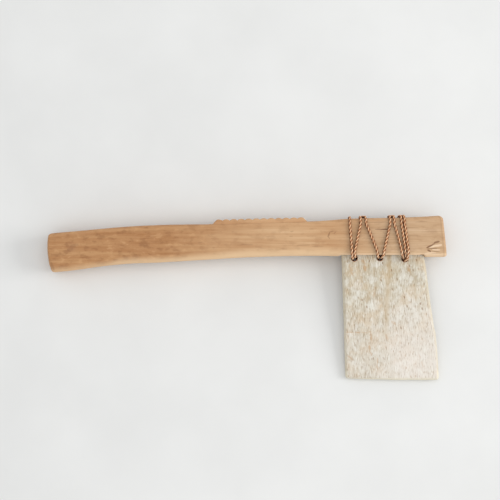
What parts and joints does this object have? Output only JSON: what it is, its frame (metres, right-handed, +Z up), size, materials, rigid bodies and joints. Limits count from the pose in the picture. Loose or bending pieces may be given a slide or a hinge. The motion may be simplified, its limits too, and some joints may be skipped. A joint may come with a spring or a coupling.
{
  "type": "hafted axe",
  "caption": "Hand axe with a flared flat bone blade laced under the head of a carved wooden haft that has a scalloped finger ridge on its back.",
  "frame": {"origin": "centre of the footprint of the axe as it lies, on the surface that carries it", "axes": "+X along the haft from its butt to its head, +Y from the blade's edge towards the haft's back, +Z up"},
  "size_m": [0.4196, 0.175, 0.0373],
  "materials": {
    "pale_wood": "matt, hand carved",
    "weathered_bone": null,
    "brown_cord": "matt, twisted"
  },
  "bodies": {
    "root": {"haft": "pale_wood", "blade": "weathered_bone", "lashing": "brown_cord"}
  },
  "joints": []
}
